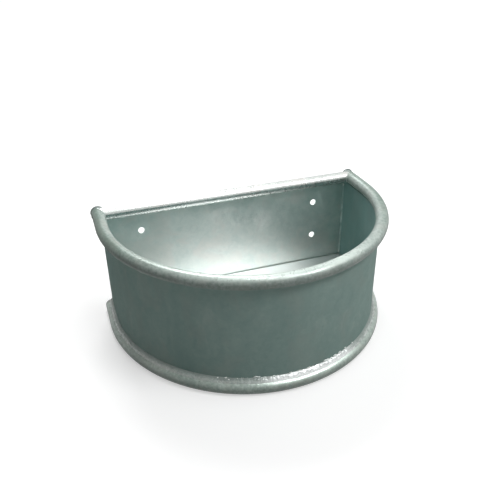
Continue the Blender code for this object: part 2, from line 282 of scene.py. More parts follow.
def bead_tree():
    """Weld bead: a section carried along a path, rippled where the arc moved on, lumpy, thin at its ends."""
    sizes = ("Step", "Ripple Pitch", "Ripple Height", "Ripple Bow", "Lump Size", "Lump Height", "Taper")
    sockets = {"Section": "Object", **dict.fromkeys((*sizes, "Seed"), "Float"), "Metal": "Material"}
    bench, given = new_tree("weld_bead", sockets)
    path, outline = path_and_section(bench, given)
    travelled = bench.node("GeometryNodeSplineParameter").output("Length")
    whole = bench.node("GeometryNodeSplineLength").output("Length")
    from_end = travelled.least(whole - travelled)
    scale = from_end.ease(given["Taper"] * TAPER_START, given["Taper"])
    stored = bench.node(
        "GeometryNodeStoreNamedAttribute",
        {"data_type": "FLOAT", "domain": "POINT"},
        {"Geometry": path, "Name": "along", "Value": travelled},
    )
    values = {"Curve": stored, "Profile Curve": outline, "Scale": scale, "Fill Caps": True}
    swept = bench.node("GeometryNodeCurveToMesh", {}, values)
    along, lane, swell = (attribute(bench, name) for name in ("along", "lane", "swell"))
    noise = {"noise_dimensions": "4D"}
    values = {"W": given["Seed"], "Scale": WANDER_SCALE, "Detail": 1.0}
    wander = bench.node("ShaderNodeTexNoise", noise, values)
    phase = along / given["Ripple Pitch"] + given["Ripple Bow"] * lane * lane + wander * WANDER_RIPPLES
    scallop = abs((phase * math.pi).sine()) - RIPPLE_MEAN
    values = {"W": given["Seed"] + LUMP_SEED_STEP, "Scale": 1.0 / given["Lump Size"], "Detail": LUMP_DETAIL}
    lump = bench.node("ShaderNodeTexNoise", noise, values) - 0.5
    rise = swell * (scallop * given["Ripple Height"] + lump * given["Lump Height"] * 2.0)
    normal = bench.node("GeometryNodeInputNormal")
    offset = bench.node("ShaderNodeVectorMath", {"operation": "SCALE"}, {0: normal, "Scale": rise})
    moved = bench.node("GeometryNodeSetPosition", {}, {"Geometry": swept, "Offset": offset})
    return close_tree(bench, moved, given["Metal"])


def droplet_tree():
    """Weld spatter: squashed drops of random size, most of them small, scattered over a surface."""
    sizes = ("Density", "Smallest", "Largest", "Flatness")
    sockets = {**dict.fromkeys(sizes, "Float"), "Seed": "Int", "Metal": "Material"}
    bench, given = new_tree("scattered_droplets", sockets)
    values = {"Mesh": given["Geometry"], "Density": given["Density"], "Seed": given["Seed"]}
    settings = {"distribute_method": "RANDOM"}
    points = bench.node("GeometryNodeDistributePointsOnFaces", settings, values)
    drop = bench.node("GeometryNodeMeshIcoSphere", {}, {"Radius": 1.0, "Subdivisions": 1})
    # Inputs 2 and 3 and output 1 are the node's sockets for plain numbers
    values = {2: 0.0, 3: 1.0, "Seed": given["Seed"]}
    random = bench.node("FunctionNodeRandomValue", {"data_type": "FLOAT"}, values, output=1)
    size = given["Smallest"] + (given["Largest"] - given["Smallest"]) * random**3
    scale = bench.node("ShaderNodeCombineXYZ", {}, {"X": size, "Y": size, "Z": size * given["Flatness"]})
    values = {"Points": points, "Instance": drop, "Rotation": points.output("Rotation"), "Scale": scale}
    scattered = bench.node("GeometryNodeInstanceOnPoints", {}, values)
    return close_tree(bench, scattered, given["Metal"])


SWEEP = sweep_tree()
BEAD = bead_tree()
DROPLETS = droplet_tree()


def placed(name, data):
    """A new object in the scene, at the origin."""
    obj = bpy.data.objects.new(name, data)
    bpy.context.scene.collection.objects.link(obj)
    return obj


def discard(obj):
    """Takes away an object that only fed a tree, a cut or a bake."""
    bpy.data.objects.remove(obj, do_unlink=True)


def line_mesh(name, *runs, closed=False):
    """Edges only: each run is a line of points."""
    mesh = bpy.data.meshes.new(name)
    points, edges = [], []
    for run in runs:
        first = len(points)
        points += [Vector(point).to_3d() for point in run]
        edges += [(start, start + 1) for start in range(first, len(points) - 1)]
        if closed:
            edges.append((len(points) - 1, first))
    mesh.from_pydata(points, edges, [])
    return mesh


def section_object(points, lanes=None):
    """A closed section, outward along X and downward along Y, with how far each point may swell."""
    obj = placed("section", line_mesh("section", [(out, -up) for out, up in points], closed=True))
    if lanes:
        layers = {
            "lane": [lane or 0.0 for lane in lanes],
            "swell": [0.0 if lane is None else 1.0 - lane**2 for lane in lanes],
        }
        for name, values in layers.items():
            obj.data.attributes.new(name, "FLOAT", "POINT").data.foreach_set("value", values)
    return obj


def run_tree(obj, tree, **inputs):
    """Runs a tree on the object with the named inputs."""
    modifier = obj.modifiers.new(tree.name, "NODES")
    modifier.node_group = tree
    for item in tree.interface.items_tree:
        key = item.name.replace(" ", "_").lower()
        if item.in_out == "INPUT" and key in inputs:
            modifier[item.identifier] = inputs[key]


def ends_wide_face(edge):
    """Whether an edge lies between a wide face and a narrow one that rounds its border."""
    areas = sorted(face.calc_area() for face in edge.link_faces)
    return len(areas) == 2 and areas[1] > WIDE_TO_NARROW * areas[0]


def bake(obj, name, sharp=True):
    """Turns the object with its modifiers into a plain piece: closed, outward, smooth but for real edges.

    A wide face keeps its own shading up to the narrow faces that round its border.
    """
    bpy.context.view_layer.update()
    graph = bpy.context.evaluated_depsgraph_get()
    mesh = bpy.data.meshes.new_from_object(obj.evaluated_get(graph), depsgraph=graph)
    mesh.name = name
    for spare in ("along", "lane", "swell"):
        if spare in mesh.attributes:
            mesh.attributes.remove(mesh.attributes[spare])
    shape = bmesh.new()
    shape.from_mesh(mesh)
    bmesh.ops.remove_doubles(shape, verts=shape.verts, dist=MERGE_DISTANCE)
    bmesh.ops.recalc_face_normals(shape, faces=shape.faces)
    shape.edges.index_update()
    creases = [edge.index for edge in shape.edges if sharp and ends_wide_face(edge)]
    shape.to_mesh(mesh)
    shape.free()
    mesh.shade_smooth()
    if sharp:
        mesh.set_sharp_from_angle(angle=SHARP_ANGLE)
        for index in creases:
            mesh.edges[index].use_edge_sharp = True
    discard(obj)
    return placed(name, mesh)


def dress(piece, slot, *nodes):
    """Says what the piece rides on and hides the CAD nodes it stands for; slot, which finish it would take,
    is not used.
    """
    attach(piece, "root")
    if nodes:
        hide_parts(*nodes)


# Paths and sections


def bowl_path(offset, z, end_y):
    """Points along the bowl's plan, outside the wall's inner face by the offset, from left to right."""
    turn = np.linspace(math.pi, 0.0, PLAN_POINTS)
    across, forward = np.cos(turn), np.sin(turn)
    outward = np.stack([across / HALF_WIDTH, -forward / NOSE_REACH], axis=1)
    outward /= np.linalg.norm(outward, axis=1)[:, None]
    nose = np.stack([HALF_WIDTH * across, PLATE_FRONT_Y - FLANK_LENGTH - NOSE_REACH * forward], axis=1)
    nose += offset * outward
    side = HALF_WIDTH + offset
    flank = np.linspace(end_y, PLATE_FRONT_Y - FLANK_LENGTH, FLANK_POINTS, endpoint=False)
    left = np.stack([np.full_like(flank, -side), flank], axis=1)
    right = np.stack([np.full_like(flank, side), flank], axis=1)[::-1]
    plan = np.concatenate([left, nose, right])
    return [(x, y, z) for x, y in plan.tolist()]


def straight_path(reach, y, z, count):
    """Points straight across the trough, from left to right."""
    return [(reach * share, y, z) for share in np.linspace(-1.0, 1.0, count).tolist()]


def ring(radius, sides, centre=(0.0, 0.0)):
    turns = [math.tau * step / sides for step in range(sides)]
    return [(centre[0] + radius * math.cos(t), centre[1] + radius * math.sin(t)) for t in turns]


def round_section(radius, sides):
    """A round bead's section, which may swell all round."""
    return ring(radius, sides), [0.0] * sides


def rounded_bar(width, height, edge):
    """A rectangular section with one corner at the origin and all four rounded."""
    points = []
    for x, y, quarter in ((width, height, 0), (0.0, height, 1), (0.0, 0.0, 2), (width, 0.0, 3)):
        inner_x = x - edge if quarter in (0, 3) else x + edge
        inner_y = y - edge if quarter in (0, 1) else y + edge
        for step in range(CORNER_STEPS + 1):
            turn = math.pi / 2 * (quarter + step / CORNER_STEPS)
            points.append((inner_x + edge * math.cos(turn), inner_y + edge * math.sin(turn)))
    return points


def fillet_section(toe, top, base, bulge):
    """A weld fillet: from its toe to its top in a swelling face, and back through the metal behind it."""
    toe, top = Vector(toe), Vector(top)
    along = top - toe
    out = Vector((along.y, -along.x)).normalized()
    if out.dot(Vector(base[0]) - toe) > 0:
        out.negate()
    points, lanes = [], []
    for step in range(FILLET_STEPS + 1):
        share = step / FILLET_STEPS
        lanes.append(2 * share - 1)
        points.append(tuple(toe + along * share + out * bulge * (1 - lanes[-1] ** 2)))
    return points + list(base), lanes + [None] * len(base)


def sweep(name, path, outline, metal, step, closed_ends=True):
    """A plain piece: the outline carried along the path."""
    section = section_object(outline)
    obj = placed(name, line_mesh(name, path))
    run_tree(obj, SWEEP, section=section, step=step, closed_ends=closed_ends, metal=metal)
    piece = bake(obj, name)
    discard(section)
    return piece


def weld(name, nodes, runs, section, metal, seed, step=0.0006, pitch=0.0026, ripple=0.00035, bow=0.4,
         lump_size=0.007, lump=0.0004, taper=0.004):
    """A finished weld bead along each run of points, which stands for the CAD nodes."""
    shape = section_object(*section)
    obj = placed(name, line_mesh(name, *runs))
    run_tree(obj, BEAD, section=shape, step=step, ripple_pitch=pitch, ripple_height=ripple, ripple_bow=bow,
             lump_size=lump_size, lump_height=lump, taper=taper, seed=float(seed), metal=metal)
    piece = bake(obj, name, sharp=False)
    discard(shape)
    dress(piece, "weld_bead", *nodes)


# Galvanised finishes

# Size of the crystals, how strongly they and the warmer stains show, and the stains' hue
CRYSTAL_SCALE = 120.0
CRYSTAL = 0.25
TINT = 0.35
WARMTH = (1.12, 0.98, 0.97)

# Painted shade on a tube's colour, at its rear ends and along its underside
REAR_PAINTED_SHADE = (0.42, 0.50, 0.455)
UNDER_PAINTED_SHADE = (0.36, 0.39, 0.38)
# Where, from front to back, the painted shade at the rear ends begins and is full
REAR_RUN = (-0.14, 0.05)

# How far the gleam and the relief go
ROUGHNESS_RANGE = (0.12, 0.9)
BRIGHTEST = 0.95
BUMP_STRENGTH = 0.35
BUMP_HEIGHT = 0.0011


def rgba(colour):
    return (*colour, 1.0)


def scaled(colour, share, lift=0.0):
    return tuple(share * value + lift for value in colour)


class PaintedHighlight(NamedTuple):
    """A painted highlight: a place painted brighter. glint is how much more metal it shows, stretch squeezes
    it along X, Y, Z.
    """

    centre: tuple
    reach: float
    strength: float
    glint: float
    stretch: tuple = (1.0, 1.0, 1.0)


class Zinc:
    """A hot-dip finish in the making: its patterns, and its colour, roughness and metal so far."""

    def __init__(self, name, drift):
        self.material = bpy.data.materials.new(name)
        self.material.use_nodes = True
        bench = self.bench = Bench(self.material.node_tree)
        place = self.place = bench.node("ShaderNodeTexCoord").output("Object")
        self.spot = bench.node("ShaderNodeSeparateXYZ", {}, {"Vector": place})
        drawn = bench.node("ShaderNodeMapping", {}, {"Vector": place, "Scale": drift})
        self.cloud = bench.noise(drawn, scale=9.0, detail=5.0, rough=0.6, distortion=0.4)
        self.stain = bench.noise(drawn, scale=22.0, detail=3.0, rough=0.6, distortion=0.5)
        self.patch = bench.noise(drawn, scale=34.0, detail=4.0, rough=0.6, distortion=0.8)
        self.dent = bench.noise(place, scale=30.0, detail=3.0, rough=0.5)
        self.speck = bench.noise(place, scale=210.0, detail=3.0, rough=0.65)
        self.fine = bench.noise(place, scale=900.0, detail=2.0, rough=0.6)
        crystal = bench.node("ShaderNodeTexVoronoi", {}, {"Vector": place, "Scale": CRYSTAL_SCALE})
        self.facet = bench.node("ShaderNodeSeparateColor", {}, {"Color": crystal.output("Color")})
        self.crystal_edge = crystal.output("Distance")
        # No painted highlight so far
        self.highlight_mask = 0.0

    def tone(self, factor, colour, blend="MIX"):
        """Mixes one more colour into the zinc."""
        self.colour = self.bench.mix(factor, self.colour, rgba(colour), blend)

    def coat(self, dull, bright, roughness, metallic, mottle, grain, chalk):
        """The zinc itself: clouds, patches, specks and crystals, warmer stains and pale oxide."""
        shade = 0.5 + self.cloud.swing(2.2 * mottle) + self.patch.swing(1.1 * mottle)
        shade = shade + self.speck.swing(1.6 * grain) + self.facet.swing(CRYSTAL)
        self.colour = self.bench.mix(shade.most(0.0).least(1.0), rgba(dull), rgba(bright))
        warm = tuple(0.5 * (low + high) * part for low, high, part in zip(dull, bright, WARMTH))
        self.tone(self.stain.ease(0.46, 0.64) * TINT, warm)
        oxide = self.patch.ease(0.56, 0.72) * self.cloud.ease(0.42, 0.62) * chalk
        self.chalky = scaled(bright, 0.5, 0.24)
        self.tone(oxide, self.chalky)
        self.rough = roughness + self.cloud.swing(0.16) + self.speck.swing(0.14) + self.facet.swing(0.07)
        self.rough = self.rough + oxide * 0.2
        self.metal = metallic - oxide * 0.3

    def mark_ring(self, centre, radius):
        """A faint, wobbly, pale ring."""
        away = self.bench.vector("DISTANCE", self.place, centre, output="Value")
        wobbly = away + self.patch.swing(radius)
        ring_mask = 1.0 - (abs(wobbly - radius) / (0.35 * radius)).ease(0.0, 1.0)
        self.tone(ring_mask * 0.22, self.chalky)

    def paint_highlight(self, painted_highlight, bright, axis):
        """Paints a highlight on the place, on a tube only on the top of it."""
        vector = self.bench.vector
        away = vector("MULTIPLY", vector("SUBTRACT", self.place, painted_highlight.centre), painted_highlight.stretch)
        distance = vector("LENGTH", away, output="Value")
        self.highlight_mask = (1.0 - distance.ease(0.45 * painted_highlight.reach, painted_highlight.reach)) * painted_highlight.strength
        if axis is not None:
            top = (self.spot.output("Z") - axis) / TUBE_RADIUS + self.dent.swing(0.4)
            self.highlight_mask = self.highlight_mask * top.ease(0.35, 0.95)
        self.tone(self.highlight_mask, tuple(min(BRIGHTEST, value) for value in scaled(bright, 1.55)))
        self.rough = self.rough - self.highlight_mask * 0.05
        self.metal = self.metal + self.highlight_mask * painted_highlight.glint

    def paint_tube_shade(self, axis, metallic, arms):
        """Paints shade on the outer side of a tube's underside, and with arms also on that of its rear ends,
        where the zinc is also rougher and less metal.
        """
        vector = self.bench.vector
        away = vector("MULTIPLY", vector("SUBTRACT", self.place, tuple(BOWL_MIDDLE)), (1.0, 1.0, 0.0))
        facing = self.bench.node("ShaderNodeNewGeometry").output("Normal")
        outward = vector("DOT_PRODUCT", vector("NORMALIZE", away), facing, output="Value")
        if arms:
            # Painted shade toward the rear ends
            rear = (self.spot.output("Y") + self.dent.swing(0.04)).ease(*REAR_RUN) * outward.ease(-0.7, 0.5)
            self.tone(rear * 0.9, REAR_PAINTED_SHADE, "MULTIPLY")
            self.rough = self.rough + rear * 0.10
            self.metal = self.metal - rear * (0.6 * metallic)
        # Painted shade on the underside, away from the bowl
        above = (self.spot.output("Z") - axis) / TUBE_RADIUS
        under = (1.0 - (above + self.dent.swing(0.7)).ease(-0.1, 0.85)) * outward.ease(-0.3, 0.4)
        self.tone(under * 0.8, UNDER_PAINTED_SHADE, "MULTIPLY")
        self.rough = self.rough + under * 0.14
        self.metal = self.metal - under * (0.7 * metallic)

    def calm_outline(self, outline):
        """Less gleam where the zinc turns away."""
        glance = self.bench.node("ShaderNodeLayerWeight", {}, {"Blend": 0.5}, output="Facing")
        self.rough = self.rough + glance.ease(0.72, 1.0) * outline * 0.5

    def darken_bead_top(self, fade, dull):
        """Turns a bead darker, toward the wall's colour, from the lower height to the upper, raggedly, less
        where the highlight is painted.
        """
        ragged = self.spot.output("Z") + self.speck.swing(0.008) + self.patch.swing(0.006)
        thin = ragged.ease(*fade) * (1.0 - self.highlight_mask * 0.6)
        self.tone(thin * 0.85, scaled(dull, 0.65))
        self.rough = self.rough + thin * 0.15

    def finish(self, gloss, grain, peel):
        """Adds the relief and feeds the shader."""
        relief = self.dent.swing(1.4 * peel) + self.speck.swing(0.45 * grain) + self.fine.swing(0.08)
        relief = relief - self.crystal_edge * (0.1 * CRYSTAL)
        values = {"Strength": BUMP_STRENGTH, "Distance": BUMP_HEIGHT, "Height": relief}
        smoothest, roughest = ROUGHNESS_RANGE
        sockets = {
            "Base Color": self.colour,
            "Roughness": self.rough.most(smoothest).least(roughest),
            "Metallic": self.metal.most(0.0),
            "Normal": self.bench.node("ShaderNodeBump", {}, values),
            "Specular IOR Level": gloss,
        }
        self.bench.feed(self.material.node_tree.nodes["Principled BSDF"], sockets)


def galvanised(name, dull, bright, roughness, metallic=0.9, gloss=0.5, drift=(1.0, 1.0, 1.0), mottle=0.9,
               grain=0.35, chalk=0.35, peel=0.25, marks=(), axis=None, arms=False, painted_highlight=None, fade=None,
               outline=0.0):
    """Hot-dip zinc: clouds, crystals, specks, chalky oxide and a faint orange peel.

    dull and bright are the ends of its colour. gloss is how strongly bare spots mirror. drift squeezes
    the clouds along X, Y and Z. mottle, grain, chalk and peel are the strengths of clouds, specks, oxide
    and dents. marks are pale rings, each a centre and a radius. axis is the height of a tube's middle:
    below it, away from the bowl, shade is painted on the zinc, and with arms toward the rear ends too.
    painted_highlight is a place painted brighter. fade is two heights, between which a bead turns darker
    toward the wall's colour. outline is how much less the zinc gleams where it turns away.
    """
    zinc = Zinc(name, drift)
    zinc.coat(dull, bright, roughness, metallic, mottle, grain, chalk)
    for centre, radius in marks:
        zinc.mark_ring(centre, radius)
    if painted_highlight is not None:
        zinc.paint_highlight(painted_highlight, bright, axis)
    if axis is not None:
        zinc.paint_tube_shade(axis, metallic, arms)
    if outline:
        zinc.calm_outline(outline)
    if fade is not None:
        zinc.darken_bead_top(fade, dull)
    zinc.finish(gloss, grain, peel)
    zinc.material.diffuse_color = rgba(dull)
    return zinc.material


# The walls' darker, dull finishes and the plate's and floor's lighter, shinier ones are one galvanised sheet
# in shaded and lit copies: painted shade and painted light.
wall_zinc = galvanised(
    "wall_zinc", (0.196, 0.282, 0.260), (0.256, 0.345, 0.318), 0.55, metallic=0.06, gloss=0.0,
    drift=(1.0, 1.0, 0.6), chalk=0.15,
)
bowl_zinc = galvanised(
    "bowl_zinc", (0.184, 0.314, 0.298), (0.235, 0.378, 0.360), 0.45, metallic=0.06, gloss=0.15,
    drift=(1.0, 1.0, 0.5),
)
plate_zinc = galvanised(
    "plate_zinc", (0.595, 0.672, 0.643), (0.78, 0.815, 0.78), 0.45, metallic=0.92,
    marks=(((-0.0742, PLATE_FRONT_Y, 0.1435), 0.008), ((0.0997, PLATE_FRONT_Y, 0.1584), 0.007)),
)
# The floor's bright strip along the back plate is a painted pool of light.
floor_zinc = galvanised(
    "floor_zinc", (0.36, 0.40, 0.395), (0.50, 0.53, 0.525), 0.42, metallic=0.55,
    painted_highlight=PaintedHighlight((-0.03, PLATE_FRONT_Y, FLOOR_TOP_Z), reach=0.34, strength=0.95, glint=0.1,
                stretch=(1.0, 3.6, 1.0)),
)
# The rim tube's front top has a painted highlight, its underside and rear ends painted shade.
tube_zinc = galvanised(
    "tube_zinc", (0.275, 0.340, 0.310), (0.43, 0.490, 0.458), 0.32, metallic=0.25, gloss=0.25, mottle=1.1,
    grain=2.2, axis=RIM_AXIS_Z, arms=True, outline=0.75,
    painted_highlight=PaintedHighlight((-0.02, -0.17, RIM_AXIS_Z), reach=0.22, strength=0.6, glint=0.0),
)
rail_zinc = galvanised(
    "rail_zinc", (0.50, 0.535, 0.515), (0.62, 0.65, 0.63), 0.27, metallic=0.85, mottle=0.6, grain=0.25,
    peel=0.15, outline=1.0,
)
# The foot tube's front top has a painted highlight, its underside painted shade.
foot_zinc = galvanised(
    "foot_zinc", (0.30, 0.375, 0.335), (0.48, 0.56, 0.51), 0.32, metallic=0.08, mottle=1.1, grain=2.0,
    axis=FOOT_AXIS_Z, outline=0.75,
    painted_highlight=PaintedHighlight((0.035, -0.16, FOOT_AXIS_Z), reach=0.125, strength=0.95, glint=0.4),
)
plug_zinc = galvanised(
    "plug_zinc", (0.13, 0.165, 0.155), (0.27, 0.32, 0.30), 0.45, metallic=0.2, grain=0.8,
)
# Near-black: painted shade on the lumps at the rim tube's ends.
drip_zinc = galvanised(
    "drip_zinc", (0.07, 0.09, 0.085), (0.19, 0.22, 0.21), 0.5, metallic=0.0, gloss=0.2, grain=1.2,
)
bead_zinc = galvanised(
    "bead_zinc", (0.32, 0.38, 0.36), (0.58, 0.64, 0.61), 0.36, metallic=0.25, grain=1.2, peel=0.6,
)
# The foot bead's front has a painted highlight.
foot_bead_zinc = galvanised(
    "foot_bead_zinc", (0.31, 0.38, 0.35), (0.60, 0.64, 0.615), 0.26, metallic=0.12, mottle=0.6, grain=1.2,
    peel=0.6, fade=(0.0228, 0.0272),
    painted_highlight=PaintedHighlight((0.035, -0.16, 0.022), reach=0.12, strength=0.9, glint=0.25),
)
# Near-white: painted glints on the weld splashes, spatter and seam ends, and a painted highlight along the
# rail bead.
splash_zinc = galvanised(
    "splash_zinc", (0.60, 0.66, 0.63), (0.84, 0.88, 0.86), 0.30, metallic=0.3, peel=0.6,
)
seam_zinc = galvanised(
    "seam_zinc", (0.24, 0.34, 0.32), (0.62, 0.72, 0.69), 0.38, metallic=0.25, mottle=1.5, grain=1.4,
    peel=0.5,
)


# Sheets


def inside_out(piece, inside, outside, is_inside):
    """Gives the faces toward the bowl one finish and the rest another."""
    mesh = piece.data
    mesh.materials.clear()
    for metal in (inside, outside):
        mesh.materials.append(metal)
    for face in mesh.polygons:
        face.material_index = 0 if is_inside(face.center, face.normal) else 1


def make_wall():
    """The rolled wall, its edges rounded by the zinc."""
    bar = rounded_bar(SHEET, WALL_TOP_Z - WALL_BOTTOM_Z, ROLLED_EDGE)
    path = bowl_path(0.0, WALL_BOTTOM_Z, PLATE_FRONT_Y)
    piece = sweep("rolled_wall", path, bar, wall_zinc, WALL_STEP)
    inside_out(piece, bowl_zinc, wall_zinc, lambda centre, normal: normal.dot(centre - BOWL_MIDDLE) < 0)
    dress(piece, "galvanised_sheet", "wall_sheet")


def blank(name, outline, holes, thickness, metal, place):
    """A flat blank cut from sheet, with rounded edges: drawn in X and Y about Z = 0, then put in place."""
    curve = bpy.data.curves.new(name, "CURVE")
    curve.dimensions = "2D"
    curve.fill_mode = "BOTH"
    curve.extrude = thickness / 2
    for loop in (outline, *holes):
        spline = curve.splines.new("POLY")
        spline.points.add(len(loop) - 1)
        for point, (x, y) in zip(spline.points, loop):
            point.co = (x, y, 0.0, 1.0)
        spline.use_cyclic_u = True
    flat = bake(placed(name, curve), name)
    flat.data.materials.append(metal)
    bevel = flat.modifiers.new("edges", "BEVEL")
    bevel.width = BLANK_EDGE
    bevel.segments = BEVEL_STEPS
    bevel.limit_method = "ANGLE"
    bevel.angle_limit = BEVEL_ANGLE
    flat.data.transform(place)
    return bake(flat, name)


def make_floor():
    """The floor plate, dropped into the bowl."""
    outline = [(x, y) for x, y, _ in bowl_path(-GAP, 0.0, PLATE_FRONT_Y - GAP)[::FLOOR_STRIDE]]
    thickness = FLOOR_TOP_Z - FLOOR_BOTTOM_Z
    place = Matrix.Translation((0.0, 0.0, FLOOR_BOTTOM_Z + thickness / 2))
    piece = blank("bowl_floor", outline, (), thickness, floor_zinc, place)
    # The floor's top takes the lit copy of the sheet, its underside the shaded one.
    inside_out(piece, floor_zinc, wall_zinc, lambda centre, normal: normal.z > 0)
    dress(piece, "galvanised_sheet", "floor_plate")


def on_plate_front(centre, normal):
    """Whether a face of the back plate shows inside the bowl, which its bolt holes' edges do."""
    return normal.y < 0.1 and abs(centre.x) < HALF_WIDTH


def make_back():
    """The back plate with its four bolt holes, its top corners cut round the rim's plugs."""
    side = HALF_WIDTH + SHEET
    clear = CAP_RADIUS + GAP
    low = math.acos((side - RIM_SIDE_X) / clear)
    high = math.acos(-math.sqrt(clear**2 - (RIM_AXIS_Z - PLATE_TOP_Z) ** 2) / clear)
    right = [(side, WALL_BOTTOM_Z)]
    for step in range(NOTCH_STEPS + 1):
        turn = low + (high - low) * step / NOTCH_STEPS
        right.append((RIM_SIDE_X + clear * math.cos(turn), RIM_AXIS_Z - clear * math.sin(turn)))
    outline = right + [(-x, z) for x, z in reversed(right)]
    centres = [(x, z) for x in (-HOLE_X, HOLE_X) for z in (UPPER_HOLE_Z, LOWER_HOLE_Z)]
    holes = [ring(HOLE_RADIUS, HOLE_SIDES, centre) for centre in centres]
    thickness = REAR_FACE_Y - PLATE_FRONT_Y
    upright = Matrix.Rotation(math.pi / 2, 4, "X")
    place = Matrix.Translation((0.0, PLATE_FRONT_Y + thickness / 2, 0.0)) @ upright
    piece = blank("drilled_back", outline, holes, thickness, plate_zinc, place)
    # The plate's front takes the lit copy of the sheet, its back the shaded one.
    inside_out(piece, plate_zinc, wall_zinc, on_plate_front)
    dress(piece, "galvanised_sheet", "back_plate")


# Tubes


def pipe(name, path, metal, step):
    """A hollow tube along the path, not yet baked: its wall goes inward from its skin."""
    skin = sweep(name, path, ring(TUBE_RADIUS, TUBE_SIDES), metal, step, closed_ends=False)
    solidify = skin.modifiers.new("tube_wall", "SOLIDIFY")
    solidify.thickness = TUBE_WALL
    solidify.offset = -1.0
    solidify.use_even_offset = True
    return skin


def make_tube(name, node, offset, axis_z, metal):
    """A tube bent along the bowl."""
    tube = pipe(name, bowl_path(offset, axis_z, TUBE_END_Y), metal, TUBE_STEP)
    dress(bake(tube, name), "galvanised_tube", node)


def cope_cutter(x):
    """A round bar as thick as the rim tube, along its straight end."""
    start, end = Vector((x, COPE_START_Y, RIM_AXIS_Z)), Vector((x, COPE_END_Y, RIM_AXIS_Z))
    size = {"radius1": TUBE_RADIUS, "radius2": TUBE_RADIUS, "depth": (end - start).length}
    mesh = bpy.data.meshes.new("cope")
    shape = bmesh.new()
    bmesh.ops.create_cone(shape, cap_ends=True, segments=TUBE_SIDES, **size)
    turn = (end - start).to_track_quat("Z", "Y").to_matrix().to_4x4()
    shape.transform(Matrix.Translation((start + end) / 2) @ turn)
    shape.to_mesh(mesh)
    shape.free()
    return placed("cope", mesh)


def make_rail():
    """The straight tube on the back edge, its ends coped to sit on the rim tube."""
    rail = pipe("back_rail", straight_path(RIM_SIDE_X, RAIL_AXIS_Y, RIM_AXIS_Z, 60), rail_zinc, RAIL_STEP)
    cutters = [cope_cutter(x) for x in (-RIM_SIDE_X, RIM_SIDE_X)]
    for cutter in cutters:
        cut = rail.modifiers.new("cope", "BOOLEAN")
        cut.operation = "DIFFERENCE"
        cut.solver = "EXACT"
        cut.object = cutter
    piece = bake(rail, "back_rail")
    for cutter in cutters:
        discard(cutter)
    dress(piece, "galvanised_tube", "back_rail_tube")


def turned(name, profile, centre, metal):
    """A turned piece: the profile of radius and depth, spun round the Y axis through the centre."""
    shape = bmesh.new()
    points = [shape.verts.new((radius, depth, 0.0)) for radius, depth in profile]
    edges = [shape.edges.new(pair) for pair in zip(points, points[1:])]
    bmesh.ops.spin(shape, geom=points + edges, axis=(0.0, 1.0, 0.0), cent=(0.0, 0.0, 0.0), angle=math.tau,
                   steps=PLUG_SIDES, use_merge=True)
    shape.transform(Matrix.Translation(centre))
    mesh = bpy.data.meshes.new(name)
    shape.to_mesh(mesh)
    shape.free()
    mesh.materials.append(metal)
    return bake(placed(name, mesh), name)


def make_plug(side, name, node, offset, axis_z, radius):
    """A plug in a tube's end: a spigot in the bore, and a head with a rounded crown behind."""
    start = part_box(node)[0].y
    head = TUBE_END_Y
    spigot = BORE_RADIUS - GAP
    profile = [(0.0, start), (spigot - SPIGOT_EDGE, start), (spigot, start + SPIGOT_EDGE)]
    profile += [(spigot, head), (TUBE_RADIUS, head)]
    if radius > TUBE_RADIUS:
        profile += [(TUBE_RADIUS, PLATE_FRONT_Y + GAP), (radius - HEAD_EDGE, PLATE_FRONT_Y + 2 * GAP)]
    for step in range(CROWN_STEPS + 1):
        turn = math.pi / 2 * step / CROWN_STEPS
        out = radius - CROWN_WIDTH + CROWN_WIDTH * math.cos(turn)
        profile.append((out, REAR_FACE_Y - CROWN_DEPTH + CROWN_DEPTH * math.sin(turn)))
    profile.append((0.0, REAR_FACE_Y))
    centre = (side * (HALF_WIDTH + offset), 0.0, axis_z)
    dress(turned(name, profile, centre, plug_zinc), "galvanised_tube", node)


# Welds

# Share of the way along the wall, height, length and thickness of each splash by the foot bead
SPLASHES = (
    (0.356, 0.0262, 0.004, 0.0010),
    (0.371, 0.0278, 0.004, 0.0013),
    (0.378, 0.0254, 0.006, 0.0012),
    (0.392, 0.0268, 0.003, 0.0009),
    (0.428, 0.0296, 0.011, 0.0014),
    (0.441, 0.0272, 0.008, 0.0011),
    (0.458, 0.0276, 0.010, 0.0012),
    (0.474, 0.0270, 0.005, 0.0009),
    (0.492, 0.0280, 0.007, 0.0012),
    (0.512, 0.0274, 0.009, 0.0011),
    (0.531, 0.0284, 0.007, 0.0013),
    (0.547, 0.0272, 0.004, 0.0009),
    (0.570, 0.0290, 0.010, 0.0015),
    (0.583, 0.0276, 0.006, 0.0011),
    (0.594, 0.0292, 0.008, 0.0015),
    (0.607, 0.0300, 0.007, 0.0014),
    (0.617, 0.0282, 0.004, 0.0010),
    (0.624, 0.0310, 0.004, 0.0011),
    (0.648, 0.0282, 0.004, 0.0010),
)
# Top of the foot bead, below which a splash lies on it: length of wall for each point of half a splash,
# share of its thickness by which a splash stands out, and how far and how fast it wavers
BEAD_TOP_Z = 0.0274
SPLASH_PITCH = 0.0022
SPLASH_LIFT = 0.25
SPLASH_WAVER = 0.0006
SPLASH_WAVES = 900

# Where fine spatter lies: shares of the way along the wall, heights, and distance from the wall
SPATTER_SPAN = (0.40, 0.64)
SPATTER_HEIGHTS = (0.0258, 0.0284)
SPATTER_LIFT = 0.0001
SPATTER_DROPS = {"density": 190000.0, "smallest": 0.0004, "largest": 0.0017, "flatness": 0.7, "seed": 6}

# Lumps on the outer side of the rim tube's ends
RIM_LUMP_X = RIM_SIDE_X + 0.0088
RIM_LUMP_START_Y = 0.1440
RIM_LUMP_Z = RIM_AXIS_Z + 0.0002

# Lumps at the ends of the upright seams: how far they stand in from wall and plate, and their heights
SEAM_END_INSET = 0.0014
SEAM_END_MIDDLES = (0.0335, 0.1885)
SEAM_END_LIFTS = (-0.003, -0.0015, 0.0, 0.0015, 0.003)

